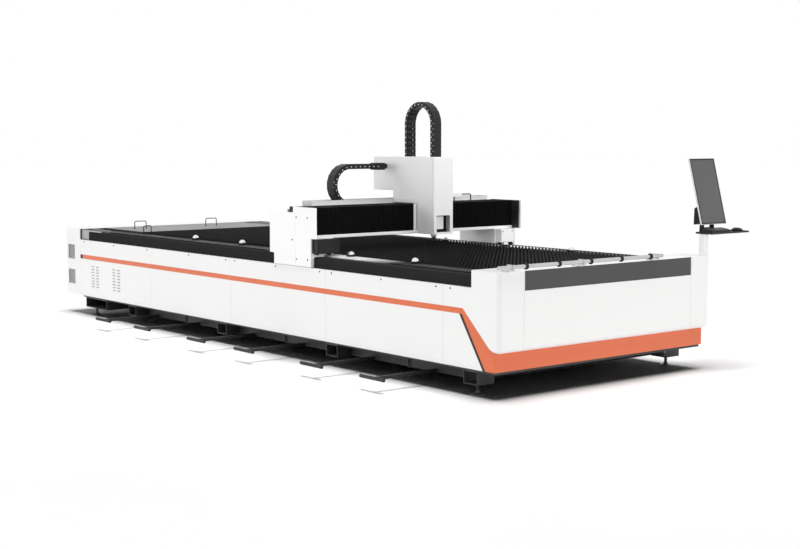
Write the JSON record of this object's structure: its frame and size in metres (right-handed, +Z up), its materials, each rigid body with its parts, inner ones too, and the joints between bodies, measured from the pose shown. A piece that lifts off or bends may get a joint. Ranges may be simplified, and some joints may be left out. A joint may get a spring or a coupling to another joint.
{
  "type": "fiber laser cutting machine",
  "caption": "Open flat-bed laser cutter for sheet metal: slatted bed with slag drawers, moving gantry, crossing carriage, cutting head, loading roller and operator console.",
  "frame": {"origin": "on the floor, under the middle of the whole machine", "axes": "+X towards the front end with the loading roller, -Y the side with the drawer handles, +Z up"},
  "size_m": [6.665, 3.064, 2.1013],
  "materials": {
    "white_paint": "smooth semi-gloss powder coat",
    "orange_paint": "smooth semi-gloss powder coat",
    "dark_paint": "fine-textured dark grey paint",
    "grey_panel": "satin grey paint",
    "bright_steel": "ground and brushed",
    "slat_steel": "laser-cut sheet with dark mill scale",
    "chrome_ball": "polished",
    "black_rubber": "matte",
    "black_fabric": "coated cloth, matte",
    "black_plastic": "fine-grained",
    "white_plastic": "fine-grained",
    "copper": "turned",
    "screen": "smooth dark display, switched off"
  },
  "bodies": {
    "bed": {"bed_frame": "dark_paint", "side_skirt_near": "white_paint", "side_skirt_far": "white_paint", "side_stripes": "orange_paint", "front_housing": "white_paint", "front_panel": "grey_panel", "front_band": "orange_paint", "rear_housing": "white_paint", "vent_grilles": "grey_panel", "levelling_feet": "bright_steel", "drawer_runners": "dark_paint", "side_decks": "bright_steel", "slat_ledges": "dark_paint", "slats": "slat_steel", "ball_cups": "black_plastic", "transfer_balls": "chrome_ball", "roller_brackets": "bright_steel", "rear_lid": "grey_panel", "lid_handles": "bright_steel", "side_plates": "grey_panel", "bed_rails": "bright_steel", "bed_racks": "bright_steel", "bed_bellows_front": "black_fabric", "bed_bellows_rear": "black_fabric", "console_post": "white_paint", "console_tray": "dark_paint", "keyboard": "black_plastic", "mouse": "black_plastic", "monitor_fork": "black_plastic"},
    "roller": {"roller_shaft": "bright_steel", "roller_rings": "black_rubber"},
    "gantry": {"gantry_leg_near": "white_paint", "gantry_leg_far": "white_paint", "end_cover_near": "white_paint", "end_cover_far": "white_paint", "gantry_beam": "white_paint", "beam_rails": "bright_steel", "beam_rack": "bright_steel", "cable_tray": "bright_steel", "drive_motors": "dark_paint", "bumpers": "black_rubber", "beam_bellows_near": "black_fabric", "beam_bellows_far": "black_fabric", "flat_chain": "black_plastic"},
    "carriage": {"carriage_plate": "bright_steel", "head_cover": "white_paint", "z_rail": "bright_steel", "upright_chain": "black_plastic"},
    "cutting_head": {"z_slide": "white_paint", "optics_block": "black_plastic", "lens_barrel": "bright_steel", "nozzle": "copper"},
    "monitor": {"monitor_case": "white_plastic", "monitor_screen": "screen"},
    "slag_drawer_1": {"slag_drawer_1": "dark_paint"},
    "slag_drawer_2": {"slag_drawer_2": "dark_paint"},
    "slag_drawer_3": {"slag_drawer_3": "dark_paint"},
    "slag_drawer_4": {"slag_drawer_4": "dark_paint"},
    "slag_drawer_5": {"slag_drawer_5": "dark_paint"},
    "slag_drawer_6": {"slag_drawer_6": "dark_paint"}
  },
  "joints": [
    {"name": "gantry_travel", "type": "slide", "parent": "bed", "child": "gantry", "axis": [1, 0, 0], "range_m": [-3, 1.5], "deforming": ["bed_bellows_front", "bed_bellows_rear"]},
    {"name": "carriage_travel", "type": "slide", "parent": "gantry", "child": "carriage", "axis": [0, 1, 0], "range_m": [-0.855, 0.645], "deforming": ["beam_bellows_near", "beam_bellows_far", "flat_chain"]},
    {"name": "head_lift", "type": "slide", "parent": "carriage", "child": "cutting_head", "axis": [0, 0, 1], "range_m": [-0.03, 0.09], "deforming": ["upright_chain"]},
    {"name": "roller_spin", "type": "hinge", "parent": "bed", "child": "roller", "pos_m": [3.3125, -0.325, 0.926], "axis": [0, 1, 0], "continuous": true},
    {"name": "monitor_tilt", "type": "hinge", "parent": "bed", "child": "monitor", "pos_m": [3.1875, 1.174, 1.174], "axis": [0, 1, 0], "range_deg": [-10, 15]},
    {"name": "slag_drawer_1_slide", "type": "slide", "parent": "bed", "child": "slag_drawer_1", "axis": [0, -1, 0], "range_m": [0, 0.8]},
    {"name": "slag_drawer_2_slide", "type": "slide", "parent": "bed", "child": "slag_drawer_2", "axis": [0, -1, 0], "range_m": [0, 0.8]},
    {"name": "slag_drawer_3_slide", "type": "slide", "parent": "bed", "child": "slag_drawer_3", "axis": [0, -1, 0], "range_m": [0, 0.8]},
    {"name": "slag_drawer_4_slide", "type": "slide", "parent": "bed", "child": "slag_drawer_4", "axis": [0, -1, 0], "range_m": [0, 0.8]},
    {"name": "slag_drawer_5_slide", "type": "slide", "parent": "bed", "child": "slag_drawer_5", "axis": [0, -1, 0], "range_m": [0, 0.8]},
    {"name": "slag_drawer_6_slide", "type": "slide", "parent": "bed", "child": "slag_drawer_6", "axis": [0, -1, 0], "range_m": [0, 0.8]}
  ]
}
